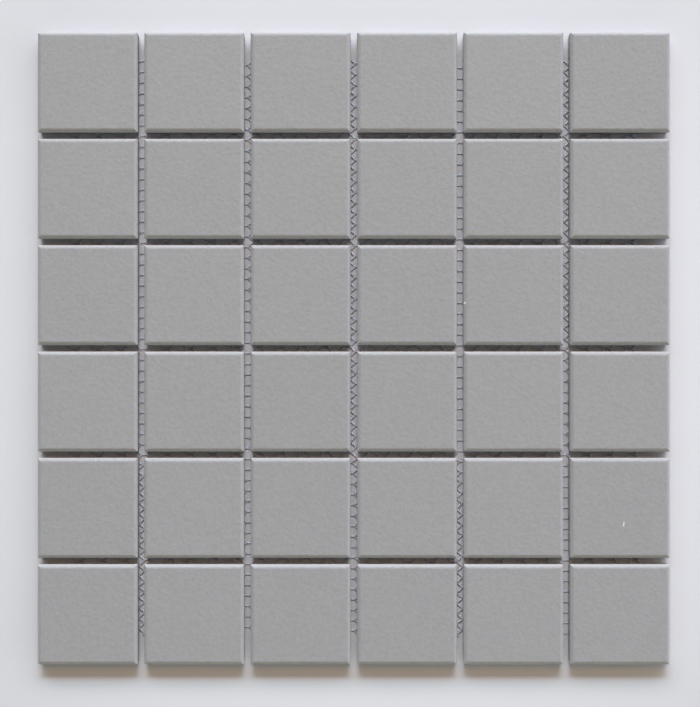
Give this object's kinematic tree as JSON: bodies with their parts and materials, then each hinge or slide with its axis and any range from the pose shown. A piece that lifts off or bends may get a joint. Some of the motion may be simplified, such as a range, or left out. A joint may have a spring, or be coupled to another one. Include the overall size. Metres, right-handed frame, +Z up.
{
  "type": "mosaic tile sheet",
  "caption": "Sheet of square matte grey porcelain mosaic tiles with cushioned edges, laid in a regular grid with open grout joints on a knitted backing net.",
  "frame": {"origin": "centre of the sheet's underside, where the backing net meets the floor or the adhesive bed", "axes": "+X runs along a row of tiles, +Y runs across the rows towards row 1 (the top of the picture), +Z points up out of the tile faces"},
  "size_m": [0.303, 0.303, 0.0065],
  "materials": {
    "porcelain": "matte unglazed porcelain, grey all through, with a fine pressed grain",
    "net_yarn": "white knitted backing yarn, slightly fuzzy"
  },
  "bodies": {
    "root": {"tile_row1_col1": "porcelain", "tile_row1_col2": "porcelain", "tile_row1_col3": "porcelain", "tile_row1_col4": "porcelain", "tile_row1_col5": "porcelain", "tile_row1_col6": "porcelain", "tile_row2_col1": "porcelain", "tile_row2_col2": "porcelain", "tile_row2_col3": "porcelain", "tile_row2_col4": "porcelain", "tile_row2_col5": "porcelain", "tile_row2_col6": "porcelain", "tile_row3_col1": "porcelain", "tile_row3_col2": "porcelain", "tile_row3_col3": "porcelain", "tile_row3_col4": "porcelain", "tile_row3_col5": "porcelain", "tile_row3_col6": "porcelain", "tile_row4_col1": "porcelain", "tile_row4_col2": "porcelain", "tile_row4_col3": "porcelain", "tile_row4_col4": "porcelain", "tile_row4_col5": "porcelain", "tile_row4_col6": "porcelain", "tile_row5_col1": "porcelain", "tile_row5_col2": "porcelain", "tile_row5_col3": "porcelain", "tile_row5_col4": "porcelain", "tile_row5_col5": "porcelain", "tile_row5_col6": "porcelain", "tile_row6_col1": "porcelain", "tile_row6_col2": "porcelain", "tile_row6_col3": "porcelain", "tile_row6_col4": "porcelain", "tile_row6_col5": "porcelain", "tile_row6_col6": "porcelain", "backing_net": "net_yarn"}
  },
  "joints": []
}
